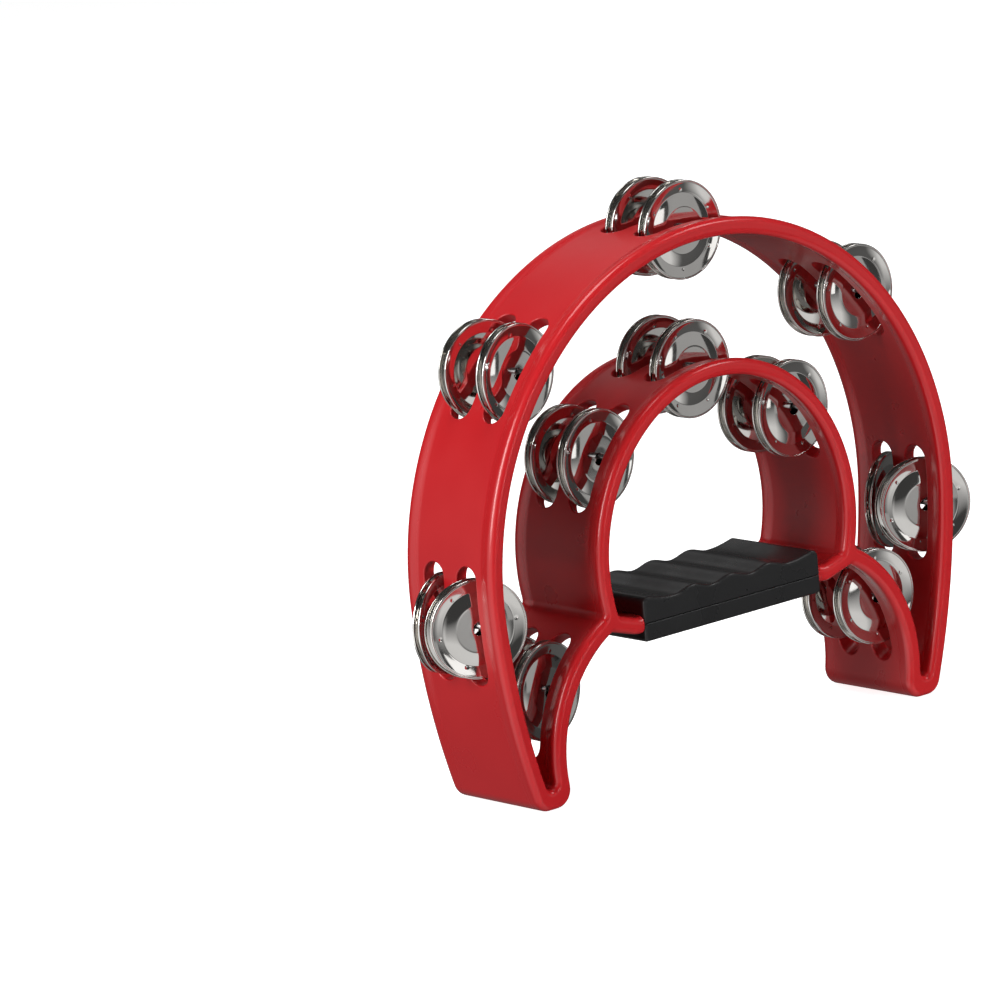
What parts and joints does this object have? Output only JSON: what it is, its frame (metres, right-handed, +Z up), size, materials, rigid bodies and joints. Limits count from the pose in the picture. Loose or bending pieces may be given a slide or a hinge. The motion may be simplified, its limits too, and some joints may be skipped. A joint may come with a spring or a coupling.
{
  "type": "tambourine",
  "caption": "Half-moon tambourine: a moulded frame of nested arcs holds rows of paired metal jingles on pins, with a finger-grooved grip on its crossbar.",
  "frame": {"origin": "middle of the box, on the plane that the feet stand on", "axes": "+X to the right seen from the front, +Y to the back along the pins, +Z up from the feet to the top of the outer arc"},
  "size_m": [0.2795, 0.05, 0.2259],
  "materials": {
    "frame_red": "glossy moulded red plastic with faint flow and handling marks",
    "grip_black_upper": "satin black moulding",
    "grip_black_lower": "satin black moulding",
    "jingle_nickel": "mirror nickel plate on pressed sheet steel",
    "pin_steel": "bright drawn steel",
    "screw_zinc": "zinc-plated steel"
  },
  "bodies": {
    "instrument": {"frame": "frame_red", "grip_lower": "grip_black_lower", "grip_screw_1": "screw_zinc", "grip_screw_2": "screw_zinc", "grip_screw_3": "screw_zinc", "grip_screw_4": "screw_zinc", "grip_upper": "grip_black_upper", "pin_flank_left": "pin_steel", "pin_flank_right": "pin_steel", "pin_inner_left": "pin_steel", "pin_inner_right": "pin_steel", "pin_inner_top": "pin_steel", "pin_outer_low_left": "pin_steel", "pin_outer_low_right": "pin_steel", "pin_outer_top": "pin_steel", "pin_outer_upper_left": "pin_steel", "pin_outer_upper_right": "pin_steel"},
    "disc_outer_top_row1_front": {"jingle_outer_top_row1_front": "jingle_nickel"},
    "disc_outer_top_row1_back": {"jingle_outer_top_row1_back": "jingle_nickel"},
    "disc_outer_top_row2_front": {"jingle_outer_top_row2_front": "jingle_nickel"},
    "disc_outer_top_row2_back": {"jingle_outer_top_row2_back": "jingle_nickel"},
    "disc_outer_upper_left_row1_front": {"jingle_outer_upper_left_row1_front": "jingle_nickel"},
    "disc_outer_upper_left_row1_back": {"jingle_outer_upper_left_row1_back": "jingle_nickel"},
    "disc_outer_upper_left_row2_front": {"jingle_outer_upper_left_row2_front": "jingle_nickel"},
    "disc_outer_upper_left_row2_back": {"jingle_outer_upper_left_row2_back": "jingle_nickel"},
    "disc_outer_upper_right_row1_front": {"jingle_outer_upper_right_row1_front": "jingle_nickel"},
    "disc_outer_upper_right_row1_back": {"jingle_outer_upper_right_row1_back": "jingle_nickel"},
    "disc_outer_upper_right_row2_front": {"jingle_outer_upper_right_row2_front": "jingle_nickel"},
    "disc_outer_upper_right_row2_back": {"jingle_outer_upper_right_row2_back": "jingle_nickel"},
    "disc_outer_low_left_row1_front": {"jingle_outer_low_left_row1_front": "jingle_nickel"},
    "disc_outer_low_left_row1_back": {"jingle_outer_low_left_row1_back": "jingle_nickel"},
    "disc_outer_low_left_row2_front": {"jingle_outer_low_left_row2_front": "jingle_nickel"},
    "disc_outer_low_left_row2_back": {"jingle_outer_low_left_row2_back": "jingle_nickel"},
    "disc_outer_low_right_row1_front": {"jingle_outer_low_right_row1_front": "jingle_nickel"},
    "disc_outer_low_right_row1_back": {"jingle_outer_low_right_row1_back": "jingle_nickel"},
    "disc_outer_low_right_row2_front": {"jingle_outer_low_right_row2_front": "jingle_nickel"},
    "disc_outer_low_right_row2_back": {"jingle_outer_low_right_row2_back": "jingle_nickel"},
    "disc_inner_top_row1_front": {"jingle_inner_top_row1_front": "jingle_nickel"},
    "disc_inner_top_row1_back": {"jingle_inner_top_row1_back": "jingle_nickel"},
    "disc_inner_top_row2_front": {"jingle_inner_top_row2_front": "jingle_nickel"},
    "disc_inner_top_row2_back": {"jingle_inner_top_row2_back": "jingle_nickel"},
    "disc_inner_left_row1_front": {"jingle_inner_left_row1_front": "jingle_nickel"},
    "disc_inner_left_row1_back": {"jingle_inner_left_row1_back": "jingle_nickel"},
    "disc_inner_left_row2_front": {"jingle_inner_left_row2_front": "jingle_nickel"},
    "disc_inner_left_row2_back": {"jingle_inner_left_row2_back": "jingle_nickel"},
    "disc_inner_right_row1_front": {"jingle_inner_right_row1_front": "jingle_nickel"},
    "disc_inner_right_row1_back": {"jingle_inner_right_row1_back": "jingle_nickel"},
    "disc_inner_right_row2_front": {"jingle_inner_right_row2_front": "jingle_nickel"},
    "disc_inner_right_row2_back": {"jingle_inner_right_row2_back": "jingle_nickel"},
    "disc_flank_left_row1_front": {"jingle_flank_left_row1_front": "jingle_nickel"},
    "disc_flank_left_row1_back": {"jingle_flank_left_row1_back": "jingle_nickel"},
    "disc_flank_left_row2_front": {"jingle_flank_left_row2_front": "jingle_nickel"},
    "disc_flank_left_row2_back": {"jingle_flank_left_row2_back": "jingle_nickel"},
    "disc_flank_right_row1_front": {"jingle_flank_right_row1_front": "jingle_nickel"},
    "disc_flank_right_row1_back": {"jingle_flank_right_row1_back": "jingle_nickel"},
    "disc_flank_right_row2_front": {"jingle_flank_right_row2_front": "jingle_nickel"},
    "disc_flank_right_row2_back": {"jingle_flank_right_row2_back": "jingle_nickel"}
  },
  "joints": [
    {"name": "slide_outer_top_row1", "type": "slide", "parent": "instrument", "child": "disc_outer_top_row1_front", "axis": [0, 1, 0], "range_m": [-0.0033, 0.0007]},
    {"name": "spin_outer_top_row1", "type": "hinge", "parent": "instrument", "child": "disc_outer_top_row1_back", "pos_m": [-0.00008, -0.00735, 0.2064], "axis": [0.0523, 0.9986, 0], "continuous": true},
    {"name": "slide_outer_top_row2", "type": "slide", "parent": "instrument", "child": "disc_outer_top_row2_front", "axis": [0, 1, 0], "range_m": [-0.0032, 0.0007]},
    {"name": "spin_outer_top_row2", "type": "hinge", "parent": "instrument", "child": "disc_outer_top_row2_back", "pos_m": [-0.00008, 0.01115, 0.2064], "axis": [0.0523, 0.9986, 0], "continuous": true},
    {"name": "slide_outer_upper_left_row1", "type": "slide", "parent": "instrument", "child": "disc_outer_upper_left_row1_front", "axis": [0, 1, 0], "range_m": [-0.0029, 0.0007]},
    {"name": "spin_outer_upper_left_row1", "type": "hinge", "parent": "instrument", "child": "disc_outer_upper_left_row1_back", "pos_m": [-0.09018, -0.00755, 0.1662], "axis": [-0.0698, 0.9976, 0], "continuous": true},
    {"name": "slide_outer_upper_left_row2", "type": "slide", "parent": "instrument", "child": "disc_outer_upper_left_row2_front", "axis": [0, 1, 0], "range_m": [-0.003, 0.0007]},
    {"name": "spin_outer_upper_left_row2", "type": "hinge", "parent": "instrument", "child": "disc_outer_upper_left_row2_back", "pos_m": [-0.09043, 0.01095, 0.1662], "axis": [0.0872, 0.9962, 0], "continuous": true},
    {"name": "slide_outer_upper_right_row1", "type": "slide", "parent": "instrument", "child": "disc_outer_upper_right_row1_front", "axis": [0, 1, 0], "range_m": [-0.0019, 0.0007]},
    {"name": "spin_outer_upper_right_row1", "type": "hinge", "parent": "instrument", "child": "disc_outer_upper_right_row1_back", "pos_m": [0.09029, -0.00945, 0.1662], "axis": [0, 1, 0], "continuous": true},
    {"name": "slide_outer_upper_right_row2", "type": "slide", "parent": "instrument", "child": "disc_outer_upper_right_row2_front", "axis": [0, 1, 0], "range_m": [-0.0021, 0.0007]},
    {"name": "spin_outer_upper_right_row2", "type": "hinge", "parent": "instrument", "child": "disc_outer_upper_right_row2_back", "pos_m": [0.09013, 0.01075, 0.1662], "axis": [0.1045, 0.9945, 0], "continuous": true},
    {"name": "slide_outer_low_left_row1", "type": "slide", "parent": "instrument", "child": "disc_outer_low_left_row1_front", "axis": [0, 1, 0], "range_m": [-0.0007, 0.0003]},
    {"name": "spin_outer_low_left_row1", "type": "hinge", "parent": "instrument", "child": "disc_outer_low_left_row1_back", "pos_m": [-0.12157, -0.00885, 0.07368], "axis": [0.3827, 0.9239, 0], "continuous": true},
    {"name": "slide_outer_low_left_row2", "type": "slide", "parent": "instrument", "child": "disc_outer_low_left_row2_front", "axis": [0, 1, 0], "range_m": [-0.0018, 0.0005]},
    {"name": "spin_outer_low_left_row2", "type": "hinge", "parent": "instrument", "child": "disc_outer_low_left_row2_back", "pos_m": [-0.12058, 0.00935, 0.07368], "axis": [-0.2588, 0.9659, 0], "continuous": true},
    {"name": "slide_outer_low_right_row1", "type": "slide", "parent": "instrument", "child": "disc_outer_low_right_row1_front", "axis": [0, 1, 0], "range_m": [-0.0014, 0.0002]},
    {"name": "spin_outer_low_right_row1", "type": "hinge", "parent": "instrument", "child": "disc_outer_low_right_row1_back", "pos_m": [0.12035, -0.00925, 0.07368], "axis": [0.4067, 0.9135, 0], "continuous": true},
    {"name": "slide_outer_low_right_row2", "type": "slide", "parent": "instrument", "child": "disc_outer_low_right_row2_front", "axis": [0, 1, 0], "range_m": [-0.0009, 0.0004]},
    {"name": "spin_outer_low_right_row2", "type": "hinge", "parent": "instrument", "child": "disc_outer_low_right_row2_back", "pos_m": [0.12146, 0.00955, 0.07368], "axis": [-0.309, 0.9511, 0], "continuous": true},
    {"name": "slide_inner_top_row1", "type": "slide", "parent": "instrument", "child": "disc_inner_top_row1_front", "axis": [0, 1, 0], "range_m": [-0.0039, 0.0007]},
    {"name": "spin_inner_top_row1", "type": "hinge", "parent": "instrument", "child": "disc_inner_top_row1_back", "pos_m": [-0.00003, -0.00735, 0.15165], "axis": [0.0175, 0.9998, 0], "continuous": true},
    {"name": "slide_inner_top_row2", "type": "slide", "parent": "instrument", "child": "disc_inner_top_row2_front", "axis": [0, 1, 0], "range_m": [-0.0036, 0.0007]},
    {"name": "spin_inner_top_row2", "type": "hinge", "parent": "instrument", "child": "disc_inner_top_row2_back", "pos_m": [-0.00005, 0.01125, 0.15165], "axis": [0.0349, 0.9994, 0], "continuous": true},
    {"name": "slide_inner_left_row1", "type": "slide", "parent": "instrument", "child": "disc_inner_left_row1_front", "axis": [0, 1, 0], "range_m": [-0.0034, 0.0007]},
    {"name": "spin_inner_left_row1", "type": "hinge", "parent": "instrument", "child": "disc_inner_left_row1_back", "pos_m": [-0.05252, -0.00745, 0.12599], "axis": [-0.0523, 0.9986, 0], "continuous": true},
    {"name": "slide_inner_left_row2", "type": "slide", "parent": "instrument", "child": "disc_inner_left_row2_front", "axis": [0, 1, 0], "range_m": [-0.0029, 0.0007]},
    {"name": "spin_inner_left_row2", "type": "hinge", "parent": "instrument", "child": "disc_inner_left_row2_back", "pos_m": [-0.0526, 0.01005, 0.12599], "axis": [0, 1, 0], "continuous": true},
    {"name": "slide_inner_right_row1", "type": "slide", "parent": "instrument", "child": "disc_inner_right_row1_front", "axis": [0, 1, 0], "range_m": [-0.0044, 0.0007]},
    {"name": "spin_inner_right_row1", "type": "hinge", "parent": "instrument", "child": "disc_inner_right_row1_back", "pos_m": [0.05263, -0.00725, 0.12599], "axis": [-0.0175, 0.9998, 0], "continuous": true},
    {"name": "slide_inner_right_row2", "type": "slide", "parent": "instrument", "child": "disc_inner_right_row2_front", "axis": [0, 1, 0], "range_m": [-0.0034, 0.0007]},
    {"name": "spin_inner_right_row2", "type": "hinge", "parent": "instrument", "child": "disc_inner_right_row2_back", "pos_m": [0.05252, 0.01115, 0.12599], "axis": [0.0523, 0.9986, 0], "continuous": true},
    {"name": "slide_flank_left_row1", "type": "slide", "parent": "instrument", "child": "disc_flank_left_row1_front", "axis": [0, 1, 0], "range_m": [-0.0012, 0.0007]},
    {"name": "spin_flank_left_row1", "type": "hinge", "parent": "instrument", "child": "disc_flank_left_row1_back", "pos_m": [-0.0888, -0.00935, 0.04235], "axis": [-0.1564, 0.9877, 0], "continuous": true},
    {"name": "slide_flank_left_row2", "type": "slide", "parent": "instrument", "child": "disc_flank_left_row2_front", "axis": [0, 1, 0], "range_m": [-0.0032, 0.0007]},
    {"name": "spin_flank_left_row2", "type": "hinge", "parent": "instrument", "child": "disc_flank_left_row2_back", "pos_m": [-0.08904, 0.01005, 0.04235], "axis": [0, 1, 0], "continuous": true},
    {"name": "slide_flank_right_row1", "type": "slide", "parent": "instrument", "child": "disc_flank_right_row1_front", "axis": [0, 1, 0], "range_m": [-0.0012, 0.0007]},
    {"name": "spin_flank_right_row1", "type": "hinge", "parent": "instrument", "child": "disc_flank_right_row1_back", "pos_m": [0.08891, -0.00995, 0.04235], "axis": [0.0872, 0.9962, 0], "continuous": true},
    {"name": "slide_flank_right_row2", "type": "slide", "parent": "instrument", "child": "disc_flank_right_row2_front", "axis": [0, 1, 0], "range_m": [-0.0027, 0.0007]},
    {"name": "spin_flank_right_row2", "type": "hinge", "parent": "instrument", "child": "disc_flank_right_row2_back", "pos_m": [0.08904, 0.00955, 0.04235], "axis": [0, 1, 0], "continuous": true}
  ]
}
